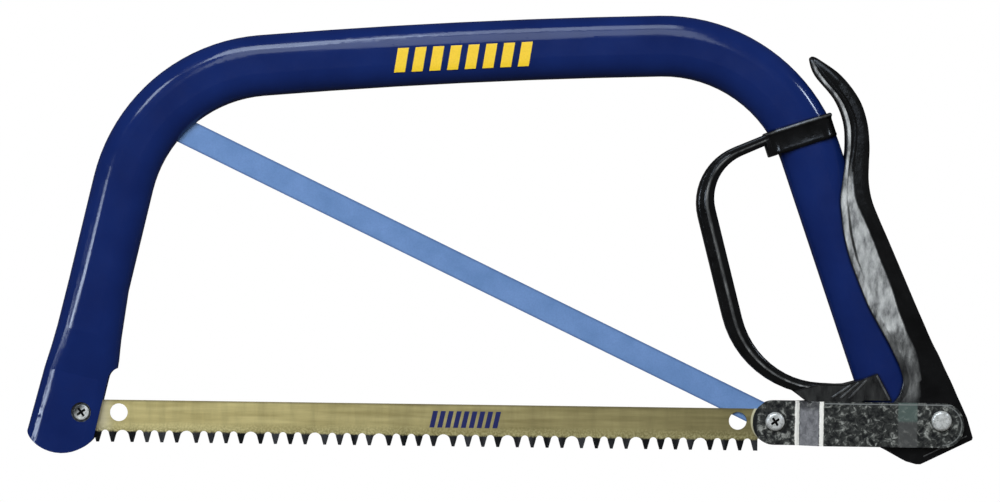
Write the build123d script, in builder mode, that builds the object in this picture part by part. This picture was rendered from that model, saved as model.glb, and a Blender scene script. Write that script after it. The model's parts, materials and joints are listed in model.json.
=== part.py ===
"""A 300 mm bow saw: a bent tube frame, a wood-cutting blade along the bottom, a hacksaw blade stowed
across the throat, and an over-centre lever that tensions the blades through a pair of link plates.

The sketch plane SAW stands upright through the middle of the saw. In it the first coordinate runs
from the front blade screw towards the handle and the second runs up, both in millimetres. The
part's own origin is the middle of the hand grip, with +X towards the handle's back and +Z up.
"""
from build123d import *
from math import cos, radians, sin
import os

# Driving dimensions, in millimetres and degrees
BLADE_SPAN = 300.0                   # between the blade holes, the standard 12 inch size
GRIP = (334.0, 68.0)                 # middle of the hand grip, seen from the front blade screw
FRONT_SCREW = (0.0, 0.0)
REAR_SCREW = (BLADE_SPAN, 0.0)
LEVER_PIVOT = (357.0, -1.0)
LINK_PIVOT = (371.2, 1.5)

TUBE_WIDTH = 26.4                    # across the tube, in the plane of the saw
TUBE_DEPTH = 15.0
TUBE_CROWN = 9.5                     # how far in from its narrow sides the tube is rounded
EDGE_FLAT = 0.4                      # half of the flat that is left along each narrow side
WALL = 1.5
LEG_FOOT = (-1.33, 20.0)             # where the front leg's pressed end starts
FRONT_LEAN = 12.76                   # of the front leg, from upright
REAR_LEAN = 19.16                    # of the rear leg, from upright
BAR_SLOPE_FRONT = 5.36
BAR_SLOPE_REAR = 1.78
FRONT_LEG = 81.1
BEND_RADIUS = 67.0                   # of the tube's centre line at both corners
BAR_RADIUS = 2770.0                  # of the top bar's slight arch
REAR_LEG = 138.0

PRESS_RUN = 36.0                     # the tube starts to widen this far above the pressed end
PRESSED_DEPTH = 11.0
# The front leg's widening sections: height above LEG_FOOT, width, shift to the back, depth, crown
LEG_SECTIONS = (
    (15.0, 28.4, 0.8, 14.7, 9.4),
    (6.0, 30.0, 1.2, 13.2, 8.6),
    (-4.0, 31.5, 1.2, PRESSED_DEPTH, 7.4),
    (-42.0, 32.6, 0.6, PRESSED_DEPTH, 7.0),
)

WOOD_BLADE_Y = (-1.0, 0.0)           # near and far face of each blade
HACK_BLADE_Y = (0.15, 0.85)
WOOD_HOLE = 3.85                     # radius of every hole in the wood blade
HOLE_STEP = 16.0                     # from a blade's end hole to its spare hole
HACK_ANGLE = 25.4                    # of the hacksaw blade, above the wood blade
HACK_WIDTH = 11.0
HACK_END = 5.2                       # of each blade end beyond its hole
CORNER_MOUTH = 283.2                 # from the rear screw to the frame's corner slot
BLADE_TOP = 5.4
BLADE_BACK_END = 7.2
GULLET_TOP = -7.6
TOOTH_TIP = -12.8
TOOTH_PITCH = 6.45
GROUP_PITCH = 27.8                   # a group is four teeth and one wide gap
TEETH_IN_GROUP = 4
GROUP_START = 21.9 - GROUP_PITCH
TIP_FLAT = 1.2
LAST_TIP = 293.0                     # the toothing stops before the rear screw
TOOTH_GROUPS = 12

SCREW = 2.0                          # radius of both blade screws
RECESS_TURN = 35.0                   # how the drivers left the two cross recesses
RUNNING = 0.05                       # radial clearance of a pin that turns
FIT = 0.02                           # radial gap of a pressed or threaded fit
PLATE = 2.0                          # thickness of a link plate
PLATE_NEAR = 1.15                    # a link plate's inner face at the blades
PLATE_FAR = 10.8                     # a link plate's inner face beside the frame
PLATE_BASE = 10.2                    # a link plate's inner face at the lever
PLATE_TOP = 9.1
PLATE_BOTTOM = -10.1
PLATE_FRONT = 290.5
PLATE_BACK = 381.0
CHEEK = 7.9                          # inner face of the lever's cheeks
BASE_HALF = 9.9                      # outer face of the lever's cheeks between the link plates
GRIP_HALF = 11.5                     # half thickness of the lever where it is held
HORN_HALF = 7.5                      # half thickness of the lever's thumb horn

SAW = Plane(origin=(-GRIP[0], 0, -GRIP[1]), x_dir=(1, 0, 0), z_dir=(0, -1, 0))


def across(y):
    """The saw's sketch plane, moved to depth y. Its positive side faces -Y."""
    return SAW.offset(-y)


def place(point, y=0.0):
    """A point of the saw's sketch plane, in the part's own frame."""
    return (point[0] - GRIP[0], y, point[1] - GRIP[1])


def leaning(point, lean, y=0.0):
    """A plane parallel to SAW with its origin at a point, turned so that its second axis leans."""
    tilt = radians(lean)
    return Plane(origin=place(point, y), x_dir=(cos(tilt), 0, -sin(tilt)), z_dir=(0, -1, 0))


def disc(point, radius, near, far, mode=Mode.ADD):
    """A round boss or hole along Y from depth near to depth far."""
    with BuildSketch(across(far)) as face:
        with Locations(point):
            Circle(radius)
    extrude(face.sketch, amount=far - near, mode=mode)


def cross_recess(point, size, face, depth):
    """The driver recess of a screw whose head faces -Y."""
    with BuildSketch(across(face + depth)) as cross:
        with Locations(point):
            Rectangle(size, size / 4, rotation=RECESS_TURN)
            Rectangle(size / 4, size, rotation=RECESS_TURN)
    extrude(cross.sketch, amount=depth, mode=Mode.SUBTRACT)


def nut(point, face, across_flats, height):
    """A hexagon nut that stands on a face on the saw's far side."""
    with BuildSketch(across(face + height)) as hexagon:
        with Locations(point):
            RegularPolygon(across_flats / 2, 6, major_radius=False)
            Circle(SCREW + FIT, mode=Mode.SUBTRACT)
    extrude(hexagon.sketch, amount=height)


def lock_washer(point, face, radius, height):
    """A split ring under a nut."""
    with BuildSketch(across(face + height)) as ring:
        with Locations(point):
            Circle(radius)
            Circle(SCREW + RUNNING, mode=Mode.SUBTRACT)
        with Locations((point[0], point[1] + radius)):
            Rectangle(height, 2 * radius - 2 * SCREW, rotation=15, mode=Mode.SUBTRACT)
    extrude(ring.sketch, amount=height)


# The tube's centre line: front leg, corner, arched bar, corner, rear leg
front_tilt = radians(FRONT_LEAN)
rear_heading = -90.0 + REAR_LEAN
LEG_START = (LEG_FOOT[0] + PRESS_RUN * sin(front_tilt), LEG_FOOT[1] + PRESS_RUN * cos(front_tilt))
with BuildLine(SAW) as centre_line:
    front_leg = PolarLine(LEG_START, FRONT_LEG - PRESS_RUN, 90 - FRONT_LEAN)
    front_corner = JernArc(front_leg @ 1, front_leg % 1, BEND_RADIUS,
                           BAR_SLOPE_FRONT - (90 - FRONT_LEAN))
    top_bar = JernArc(front_corner @ 1, front_corner % 1, BAR_RADIUS, BAR_SLOPE_REAR - BAR_SLOPE_FRONT)
    rear_corner = JernArc(top_bar @ 1, top_bar % 1, BEND_RADIUS, rear_heading - BAR_SLOPE_REAR)
    rear_leg = Line(rear_corner @ 1, rear_corner @ 1 + (rear_corner % 1) * REAR_LEG)

LEG_SECTION = Plane(origin=front_leg @ 0, x_dir=(0, 1, 0), z_dir=front_leg % 0)


def oval(depth, width, crown):
    """The tube's section: a rectangle whose corners are quarter ellipses."""
    side = depth / 2
    end = width / 2
    with BuildLine() as rim:
        Line((side, 0), (side, end - crown))
        EllipticalCenterArc((EDGE_FLAT, end - crown), side - EDGE_FLAT, crown, arc_size=90)
        Line((EDGE_FLAT, end), (0, end))
        mirror(about=Plane.XZ)
        mirror(about=Plane.YZ)
    make_face(rim.edges())


def frame_form(inset, mode):
    """The frame's whole outer form, or its hollow, which lies the wall's thickness inside it."""
    with BuildSketch(LEG_SECTION) as tube:
        oval(TUBE_DEPTH - 2 * inset, TUBE_WIDTH - 2 * inset, TUBE_CROWN - inset)
    sweep(tube.sketch, path=centre_line.line, mode=mode)
    above = tube
    for height, width, shift, depth, crown in LEG_SECTIONS:
        middle = LEG_SECTION.offset(height - PRESS_RUN)
        middle.origin -= middle.y_dir * shift
        with BuildSketch(middle) as section:
            oval(depth - 2 * inset, width - 2 * inset, crown - inset)
        loft([above.sketch, section.sketch], mode=mode)
        above = section


# The pressed front end, in a plane that leans with the front leg
FOOT_PLANE = leaning(LEG_FOOT, FRONT_LEAN)
FOOT_OUT = 16.0
MOUTH_EDGE = 13.5                    # the milled edge where the wood blade comes out
MOUTH_TOP = 3.4
MOUTH_CORNER = 5.5
HEEL = (MOUTH_EDGE, -29.0)           # the pressed end's round sole runs from heel to toe
SOLE = (1.0, -38.6)
TOE = (-FOOT_OUT, -32.6)
HEEL_ROUND = 2.0
TOE_ROUND = 7.0
# The rear end, in a plane that leans with the rear leg and has the lever's pivot as its origin
TAIL_PLANE = leaning(LEVER_PIVOT, -REAR_LEAN)
TAIL_ROUND = 9.2                     # the tube's end is round about the lever's pivot
TAIL_OUT = 15.4
TAIL_SHOULDER = (11.8, 12.0)         # where the tube is back to its full width
TRIM = 60.0                          # size of the tools that trim the tube's ends

FACE = PRESSED_DEPTH / 2
INNER_FACE = FACE - WALL
RECESS = 4.3                         # radius of the hole that the front screw's head sits in
PIVOT_PIN = 3.0
GUARD_SCREW = (337.5, 14.0)
GUARD_PILOT = 1.5
HACK_LINE = (-cos(radians(HACK_ANGLE)), sin(radians(HACK_ANGLE)))
SLOT_ACROSS = 20.0
SLOT_ALONG = 13.0
SLOT_Y = (-0.25, 1.25)


def along_hack(distance):
    """A point on the hacksaw blade's centre line, at a distance from the rear screw."""
    return (REAR_SCREW[0] + distance * HACK_LINE[0], REAR_SCREW[1] + distance * HACK_LINE[1])


with BuildPart() as frame_tube:
    frame_form(0.0, Mode.ADD)
    frame_form(WALL, Mode.SUBTRACT)
    with BuildSketch(FOOT_PLANE.offset(-TRIM / 2)) as foot_waste:
        with Locations((0, MOUTH_TOP + MOUTH_CORNER)):
            Rectangle(2 * TRIM, TRIM, align=(Align.CENTER, Align.MAX))
        with BuildLine():
            Polyline(TOE, (-FOOT_OUT, TRIM), (TRIM / 2, TRIM), (TRIM / 2, MOUTH_TOP), (MOUTH_EDGE, MOUTH_TOP),
                     HEEL)
            ThreePointArc(HEEL, SOLE, TOE)
        make_face(mode=Mode.SUBTRACT)
        for corner, radius in (((MOUTH_EDGE, MOUTH_TOP), MOUTH_CORNER), (HEEL, HEEL_ROUND), (TOE, TOE_ROUND)):
            fillet(foot_waste.vertices().sort_by_distance(corner)[0], radius)
    extrude(amount=TRIM, mode=Mode.SUBTRACT)
    with BuildSketch(TAIL_PLANE.offset(-TRIM / 2)) as tail_waste:
        with Locations((0, TAIL_SHOULDER[1])):
            Rectangle(TRIM, TRIM, align=(Align.CENTER, Align.MAX))
        with BuildLine():
            Polyline((-TAIL_OUT, TRIM), (-TAIL_OUT, -TAIL_ROUND), (TAIL_ROUND, -TAIL_ROUND), (TAIL_ROUND, 0),
                     TAIL_SHOULDER, (TAIL_SHOULDER[0], TRIM), close=True)
        make_face(mode=Mode.SUBTRACT)
        for side in (TAIL_ROUND, -TAIL_OUT):
            fillet(tail_waste.vertices().sort_by_distance((side, -TAIL_ROUND))[0], TAIL_ROUND - FIT)
    extrude(amount=TRIM, mode=Mode.SUBTRACT)
    disc(FRONT_SCREW, RECESS, -TUBE_DEPTH, 0, Mode.SUBTRACT)
    disc(FRONT_SCREW, SCREW + FIT, 0, TUBE_DEPTH, Mode.SUBTRACT)
    disc(LEVER_PIVOT, PIVOT_PIN + FIT, -TUBE_DEPTH, TUBE_DEPTH, Mode.SUBTRACT)
    disc(GUARD_SCREW, GUARD_PILOT + FIT, 0, TUBE_DEPTH, Mode.SUBTRACT)
    with BuildSketch(across(SLOT_Y[1])):
        with Locations(along_hack(CORNER_MOUTH)):
            Rectangle(SLOT_ALONG, SLOT_ACROSS, rotation=-HACK_ANGLE)
    extrude(amount=SLOT_Y[1] - SLOT_Y[0], mode=Mode.SUBTRACT)

# Front blade screw: its head sits in the front wall's recess and it clamps the two spacers
SPACER = 4.4
BLADE_GAP = 0.15                     # between a blade and what stands beside it
HEAD_SMALL = 3.5
HEAD_HEIGHT = 1.2
NUT_FLATS = 7.0
NUT_HEIGHT = 3.2
WASHER_RADIUS = 3.8
WASHER_HEIGHT = 1.0
SCREW_PROUD = 0.6
BOSS = WOOD_HOLE - RUNNING           # the boss that the wood blade turns on
near_gap = WOOD_BLADE_Y[0] - BLADE_GAP
far_gap = WOOD_BLADE_Y[1] + BLADE_GAP

with BuildPart() as front_spacer:
    disc(FRONT_SCREW, SPACER, -INNER_FACE, near_gap)
    disc(FRONT_SCREW, SCREW + FIT, -INNER_FACE, near_gap, Mode.SUBTRACT)

with BuildPart() as front_boss:
    disc(FRONT_SCREW, SPACER, far_gap, INNER_FACE)
    disc(FRONT_SCREW, BOSS, near_gap, far_gap)
    disc(FRONT_SCREW, SCREW + FIT, near_gap, INNER_FACE, Mode.SUBTRACT)

nut_seat = FACE + WASHER_HEIGHT
with BuildPart() as front_blade_screw:
    disc(FRONT_SCREW, SCREW, -INNER_FACE, nut_seat + NUT_HEIGHT + SCREW_PROUD)
    disc(FRONT_SCREW, HEAD_SMALL, -INNER_FACE - HEAD_HEIGHT, -INNER_FACE)
    fillet(front_blade_screw.edges().group_by(Axis.Y)[0], HEAD_HEIGHT / 2)
    cross_recess(FRONT_SCREW, HEAD_SMALL * 1.2, -INNER_FACE - HEAD_HEIGHT, HEAD_HEIGHT * 0.7)

with BuildPart() as front_lock_washer:
    lock_washer(FRONT_SCREW, FACE, WASHER_RADIUS, WASHER_HEIGHT)

with BuildPart() as front_blade_nut:
    nut(FRONT_SCREW, nut_seat, NUT_FLATS, NUT_HEIGHT)

# Wood blade: groups of four pointed teeth with round gullets, and a wide gap between groups
BLADE_ENDS = (-9.2, BLADE_SPAN + BLADE_BACK_END)
BLADE_CORNER = 2.0
SHOULDER_RISE = 3.6                  # from a tooth's tip to where its gullet becomes round
FLANK_RUN = 1.0                      # how far a tooth's flank leans over that rise
tips = [GROUP_START + group * GROUP_PITCH + tooth * TOOTH_PITCH
        for group in range(TOOTH_GROUPS) for tooth in range(TEETH_IN_GROUP)]
tips = [tip for tip in tips if tip < LAST_TIP]

with BuildPart() as wood_blade:
    with BuildSketch(across(WOOD_BLADE_Y[1])) as blade_outline:
        with Locations((BLADE_ENDS[0], TOOTH_TIP)):
            Rectangle(BLADE_ENDS[1] - BLADE_ENDS[0], BLADE_TOP - TOOTH_TIP, align=(Align.MIN, Align.MIN))
        fillet(blade_outline.vertices().group_by(Axis.Y)[-1], BLADE_CORNER)
        with Locations((tips[-1] + TIP_FLAT, GULLET_TOP)):
            Rectangle(TRIM, TRIM, align=(Align.MIN, Align.MAX), mode=Mode.SUBTRACT)
        for left_tip, right_tip in zip(tips, tips[1:]):
            start = left_tip + TIP_FLAT / 2
            end = right_tip - TIP_FLAT / 2
            shoulder = TOOTH_TIP + SHOULDER_RISE
            with BuildLine():
                ThreePointArc((start + FLANK_RUN, shoulder), ((start + end) / 2, GULLET_TOP),
                              (end - FLANK_RUN, shoulder))
                Polyline((end - FLANK_RUN, shoulder), (end, TOOTH_TIP), (end, TOOTH_TIP - 1),
                         (start, TOOTH_TIP - 1), (start, TOOTH_TIP), (start + FLANK_RUN, shoulder))
            make_face(mode=Mode.SUBTRACT)
        with Locations(FRONT_SCREW, (HOLE_STEP, 0), (BLADE_SPAN - HOLE_STEP, 0), REAR_SCREW):
            Circle(WOOD_HOLE, mode=Mode.SUBTRACT)
    extrude(amount=WOOD_BLADE_Y[1] - WOOD_BLADE_Y[0])

# Hacksaw blade: from the rear screw to the slot in the frame's front corner
hack_length = BLADE_SPAN + 2 * HACK_END
with BuildPart() as hacksaw_blade:
    with BuildSketch(across(HACK_BLADE_Y[1])):
        with Locations(along_hack(BLADE_SPAN / 2)):
            RectangleRounded(hack_length, HACK_WIDTH, HACK_WIDTH / 3, rotation=-HACK_ANGLE)
        with Locations(along_hack(0), along_hack(BLADE_SPAN)):
            Circle(SCREW + RUNNING, mode=Mode.SUBTRACT)
    extrude(amount=HACK_BLADE_Y[1] - HACK_BLADE_Y[0])

# Link plates: close together at the blades, then joggled apart to pass the frame and the lever
JOGGLE = (309.5, 319.5)
BASE_JOGGLE = (352.0, 361.0)
BEND = 2.5
LINK_RIVET = 2.5
TOP_VIEW = Plane(origin=(-GRIP[0], 0, -GRIP[1]))
link_plates = {}
for name, side in (("link_plate_front", -1), ("link_plate_back", 1)):
    near_mid = side * (PLATE_NEAR + PLATE / 2)
    far_mid = side * (PLATE_FAR + PLATE / 2)
    base_mid = side * (PLATE_BASE + PLATE / 2)
    with BuildPart() as link_plate:
        with BuildSketch(TOP_VIEW.offset(PLATE_BOTTOM)):
            with BuildLine():
                FilletPolyline((PLATE_FRONT, near_mid), (JOGGLE[0], near_mid), (JOGGLE[1], far_mid),
                               (BASE_JOGGLE[0], far_mid), (BASE_JOGGLE[1], base_mid),
                               (PLATE_BACK, base_mid), radius=BEND)
            trace(line_width=PLATE)
        extrude(amount=PLATE_TOP - PLATE_BOTTOM)
        with BuildSketch(across(TRIM / 2)):
            with Locations(((PLATE_FRONT + PLATE_BACK) / 2, (PLATE_TOP + PLATE_BOTTOM) / 2)):
                RectangleRounded(PLATE_BACK - PLATE_FRONT, PLATE_TOP - PLATE_BOTTOM, 9.0)
            with Locations(REAR_SCREW):
                Circle(SCREW + FIT, mode=Mode.SUBTRACT)
            with Locations(LINK_PIVOT):
                Circle(LINK_RIVET + FIT, mode=Mode.SUBTRACT)
        extrude(amount=TRIM, mode=Mode.INTERSECT)
    link_plates[name] = link_plate

# Rear blade screw, through both plates and both blades
HEAD_LARGE = 4.1
HEAD_DOME = 2.2
plate_face = PLATE_NEAR + PLATE
with BuildPart() as rear_blade_screw:
    disc(REAR_SCREW, SCREW, -plate_face, plate_face + WASHER_HEIGHT + NUT_HEIGHT + SCREW_PROUD)
    disc(REAR_SCREW, HEAD_LARGE, -plate_face - HEAD_DOME, -plate_face)
    fillet(rear_blade_screw.edges().group_by(Axis.Y)[0], HEAD_DOME * 0.7)
    cross_recess(REAR_SCREW, HEAD_LARGE, -plate_face - HEAD_DOME, HEAD_DOME * 0.6)

with BuildPart() as rear_lock_washer:
    lock_washer(REAR_SCREW, plate_face, WASHER_RADIUS, WASHER_HEIGHT)

with BuildPart() as rear_blade_nut:
    nut(REAR_SCREW, plate_face + WASHER_HEIGHT, NUT_FLATS, NUT_HEIGHT)

# Link rivet: turns in the lever's bush and holds both plates against the lever
RIVET_HEAD = 4.4
RIVET_DOME = 1.8
base_face = PLATE_BASE + PLATE
with BuildPart() as link_rivet:
    disc(LINK_PIVOT, LINK_RIVET, -base_face, base_face)
    disc(LINK_PIVOT, RIVET_HEAD, -base_face - RIVET_DOME, -base_face)
    disc(LINK_PIVOT, RIVET_HEAD, base_face, base_face + RIVET_DOME)
    fillet(link_rivet.edges().group_by(Axis.Y)[0], RIVET_DOME * 0.8)
    fillet(link_rivet.edges().group_by(Axis.Y)[-1], RIVET_DOME * 0.8)

# Lever pivot: a flush rivet through the tube's end, with a sleeve that keeps the tube from closing
SLEEVE = 3.9
SLEEVE_HALF = 5.7
FLUSH_HEAD = 4.6
FLUSH_DEPTH = 1.0
HEAD_SINK = 0.1
SIDE_GAP = 0.1
tube_inside = TUBE_DEPTH / 2 - WALL
flush_face = BASE_HALF - HEAD_SINK
with BuildPart() as lever_pivot_rivet:
    disc(LEVER_PIVOT, PIVOT_PIN, -flush_face, flush_face)
    disc(LEVER_PIVOT, FLUSH_HEAD, -flush_face, FLUSH_DEPTH - flush_face)
    disc(LEVER_PIVOT, FLUSH_HEAD, flush_face - FLUSH_DEPTH, flush_face)

with BuildPart() as pivot_sleeve:
    disc(LEVER_PIVOT, SLEEVE, -SLEEVE_HALF, SLEEVE_HALF)
    disc(LEVER_PIVOT, PIVOT_PIN + FIT, -SLEEVE_HALF, SLEEVE_HALF, Mode.SUBTRACT)

BUSH = 3.8
with BuildPart() as link_bush:
    disc(LINK_PIVOT, BUSH, -BASE_HALF - SIDE_GAP, BASE_HALF + SIDE_GAP)
    disc(LINK_PIVOT, LINK_RIVET + RUNNING, -TUBE_DEPTH, TUBE_DEPTH, Mode.SUBTRACT)

# Lever: a moulding that straddles the tube, with a thumb horn at its top
HORN_TIP = (313.9, 158.2)
HORN_FRONT = (312.7, 155.2)
WAIST = (342.4, 89.6)
HEEL_TOP = (382.6, 3.0)
LIP_TOP = (330.2, 115.8)
LIP_FOOT = (350.6, 9.1)
CHANNEL_EDGE = 12.2                  # the channel's floor, just clear of the tube
CHANNEL_ROUND = 9.95
CHANNEL_TOP = 122.0
WEB_CUT = -33.0                      # the web ends on this ray from the pivot
web_ray = (cos(radians(WEB_CUT)), sin(radians(WEB_CUT)))
FRONT_VIEW = Plane(origin=(0, 0, -GRIP[1]), x_dir=(0, 1, 0), z_dir=(1, 0, 0))

with BuildPart() as lever:
    with BuildSketch(across(GRIP_HALF)) as lever_outline:
        with BuildLine():
            Spline(HORN_TIP, (327.9, 148.6), (335.8, 135.4), (338.9, 118.0), (338.7, 104.0), WAIST)
            Line(WAIST, HEEL_TOP)
            Polyline(HEEL_TOP, (385.4, -6.4), (362.3, -17.6), (356.2, -16.4), (345.8, -10.9), LIP_FOOT)
            Spline(LIP_FOOT, (354.6, 16.0), (354.2, 23.5), (344.2, 44.5), (332.6, 70.4), (327.9, 92.0),
                   LIP_TOP)
            Spline(LIP_TOP, (329.8, 122.3), (326.6, 135.2), (318.1, 148.1), HORN_FRONT)
            Line(HORN_FRONT, HORN_TIP)
        make_face()
    extrude(amount=2 * GRIP_HALF)
    with BuildSketch(FRONT_VIEW.offset(-GRIP[0])):
        with BuildLine():
            Polyline((0, -TRIM), (BASE_HALF, -TRIM), (BASE_HALF, 13.0), (GRIP_HALF, 26.0), (GRIP_HALF, 98.0),
                     (HORN_HALF, 124.0), (HORN_HALF - 1.5, HORN_TIP[1]), (0, HORN_TIP[1]))
            mirror(about=Plane.YZ)
        make_face()
    extrude(amount=2 * GRIP[0], mode=Mode.INTERSECT)
    with BuildSketch(TAIL_PLANE.offset(-CHEEK)):
        with BuildLine():
            Polyline((CHANNEL_ROUND, 0), (CHANNEL_EDGE, TAIL_SHOULDER[1]), (CHANNEL_EDGE, CHANNEL_TOP),
                     (-TRIM, CHANNEL_TOP), (-TRIM, -TRIM), (TRIM, -TRIM),
                     (TRIM * web_ray[0], TRIM * web_ray[1]),
                     (CHANNEL_ROUND * web_ray[0], CHANNEL_ROUND * web_ray[1]))
            CenterArc((0, 0), CHANNEL_ROUND, WEB_CUT, -WEB_CUT)
        make_face()
    extrude(amount=2 * CHEEK, mode=Mode.SUBTRACT)
    disc(LEVER_PIVOT, PIVOT_PIN + RUNNING, -GRIP_HALF, GRIP_HALF, Mode.SUBTRACT)
    counterbore = flush_face - FLUSH_DEPTH - RUNNING
    disc(LEVER_PIVOT, FLUSH_HEAD + RUNNING, -GRIP_HALF, -counterbore, Mode.SUBTRACT)
    disc(LEVER_PIVOT, FLUSH_HEAD + RUNNING, counterbore, GRIP_HALF, Mode.SUBTRACT)
    disc(LINK_PIVOT, BUSH + FIT, -GRIP_HALF, GRIP_HALF, Mode.SUBTRACT)

# Knuckle guard: a bow that is moulded in one with a collar and a saddle round the rear leg
STRAP_WIDTH = 14.0
STRAP_ROUND = 1.8
COLLAR_AT = (309.3, 124.2)
COLLAR_LEAN = -18.5
COLLAR_SIZE = (31.4, 19.4)
COLLAR_HEIGHT = 10.5
COLLAR_CORNER = 6.5
SADDLE_HALF = 9.5
BOW_OUTSIDE = ((300.0, 126.6), (259.9, 109.7), (285.1, 12.7), (330.0, 11.5))
BOW_OUTER_BENDS = (26.0, 44.0)
BOW_INSIDE = ((330.0, 16.5), (292.0, 18.0), (268.7, 107.9), (300.0, 121.8))
BOW_INNER_BENDS = (37.0, 20.0)
SADDLE = ((307.5, 13.0), (330.0, 16.6), (343.8, 21.5), (350.1, 9.7), (317.0, 9.7))
with BuildPart() as knuckle_guard:
    with BuildSketch(across(STRAP_WIDTH / 2)):
        with BuildLine():
            FilletPolyline(*BOW_OUTSIDE, radius=BOW_OUTER_BENDS)
            Line(BOW_OUTSIDE[-1], BOW_INSIDE[0])
            FilletPolyline(*BOW_INSIDE, radius=BOW_INNER_BENDS)
            Line(BOW_INSIDE[-1], BOW_OUTSIDE[0])
        make_face()
    extrude(amount=STRAP_WIDTH)
    rims = knuckle_guard.edges().group_by(Axis.Y)
    fillet(rims[0] + rims[-1], STRAP_ROUND)
    collar_plane = leaning(COLLAR_AT, COLLAR_LEAN)
    with BuildSketch(Plane(origin=collar_plane.origin, x_dir=collar_plane.x_dir, z_dir=collar_plane.y_dir)):
        RectangleRounded(*COLLAR_SIZE, COLLAR_CORNER)
    extrude(amount=COLLAR_HEIGHT / 2, both=True)
    with BuildSketch(across(SADDLE_HALF)):
        with BuildLine():
            Polyline(*SADDLE, close=True)
        make_face()
    extrude(amount=2 * SADDLE_HALF)
    frame_form(0.0, Mode.SUBTRACT)
    disc(GUARD_SCREW, GUARD_PILOT + FIT, 0, GRIP_HALF, Mode.SUBTRACT)

with BuildPart() as guard_screw:
    disc(GUARD_SCREW, GUARD_PILOT, tube_inside - 2, SADDLE_HALF)
    disc(GUARD_SCREW, 2 * GUARD_PILOT, SADDLE_HALF, SADDLE_HALF + GUARD_PILOT)
    fillet(guard_screw.edges().group_by(Axis.Y)[-1], GUARD_PILOT / 2)

pieces = {
    "frame_tube": frame_tube,
    "front_spacer": front_spacer,
    "front_boss": front_boss,
    "front_blade_screw": front_blade_screw,
    "front_lock_washer": front_lock_washer,
    "front_blade_nut": front_blade_nut,
    "wood_blade": wood_blade,
    "hacksaw_blade": hacksaw_blade,
    "rear_blade_screw": rear_blade_screw,
    "rear_lock_washer": rear_lock_washer,
    "rear_blade_nut": rear_blade_nut,
    "link_rivet": link_rivet,
    "link_bush": link_bush,
    "lever": lever,
    "lever_pivot_rivet": lever_pivot_rivet,
    "pivot_sleeve": pivot_sleeve,
    "knuckle_guard": knuckle_guard,
    "guard_screw": guard_screw,
    **link_plates,
}
os.makedirs("parts", exist_ok=True)
for name, piece in pieces.items():
    piece.part.label = name
    export_step(piece.part, f"parts/{name}.step")
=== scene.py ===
"""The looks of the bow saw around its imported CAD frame: finishes, moulded parts, blades and marks."""
import json
import math

import bmesh
import bpy
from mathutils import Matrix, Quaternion, Vector


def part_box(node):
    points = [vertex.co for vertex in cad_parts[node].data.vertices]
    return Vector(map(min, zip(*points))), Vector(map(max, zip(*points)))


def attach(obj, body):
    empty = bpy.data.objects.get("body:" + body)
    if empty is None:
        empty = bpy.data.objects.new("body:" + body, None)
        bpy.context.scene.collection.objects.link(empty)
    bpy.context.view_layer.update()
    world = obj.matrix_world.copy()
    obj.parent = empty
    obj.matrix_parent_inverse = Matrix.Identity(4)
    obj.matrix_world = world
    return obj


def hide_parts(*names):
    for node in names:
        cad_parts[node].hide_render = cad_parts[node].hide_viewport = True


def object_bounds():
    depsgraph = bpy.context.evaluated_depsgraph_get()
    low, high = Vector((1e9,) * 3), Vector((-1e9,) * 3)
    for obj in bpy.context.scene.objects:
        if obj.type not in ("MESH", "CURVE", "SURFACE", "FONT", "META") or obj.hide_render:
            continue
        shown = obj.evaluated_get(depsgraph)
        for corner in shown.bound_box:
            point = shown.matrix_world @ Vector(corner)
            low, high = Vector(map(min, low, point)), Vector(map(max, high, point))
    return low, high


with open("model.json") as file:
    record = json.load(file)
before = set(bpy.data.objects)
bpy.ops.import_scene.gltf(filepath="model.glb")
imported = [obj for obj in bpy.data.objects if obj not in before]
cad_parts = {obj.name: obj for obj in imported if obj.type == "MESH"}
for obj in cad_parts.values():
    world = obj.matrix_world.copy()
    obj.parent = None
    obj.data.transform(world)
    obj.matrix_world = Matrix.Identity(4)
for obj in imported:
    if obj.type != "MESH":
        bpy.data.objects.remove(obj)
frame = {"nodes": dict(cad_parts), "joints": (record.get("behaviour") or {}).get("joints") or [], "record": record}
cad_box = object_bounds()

MM = 0.001
FRONT_SCREW = next(Vector(joint["pos_m"]) for joint in frame["joints"]
                   if joint["name"] == "wood_blade_hinge")
REAR_SCREW_X = 300.0       # millimetres from the front blade screw
HACKSAW_SLOPE = math.radians(25.4)
SWING_BELOW = 75 * MM      # how far the opened saw reaches below its rest height
FLOOR_Z = cad_box[0].z - SWING_BELOW


def at(x, z, y=0.0):
    """A point in the saw's plane, in millimetres from the front blade screw, as a row-frame vector."""
    return Vector((FRONT_SCREW.x + x * MM, y * MM, FRONT_SCREW.z + z * MM))


def station(x):
    """The row-frame X of a distance along the blade, in millimetres from the front blade screw."""
    return at(x, 0).x


def level(z):
    """The row-frame Z of a height in millimetres above the front blade screw."""
    return at(0, z).z


# ---------------------------------------------------------------- materials

def grey(value):
    """A linear grey."""
    return (value, value, value)


def srgb(red, green, blue):
    """A linear colour from its 8-bit display values."""
    shares = (red / 255, green / 255, blue / 255)
    return tuple(((c + 0.055) / 1.055) ** 2.4 if c > 0.04045 else c / 12.92 for c in shares)


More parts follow.
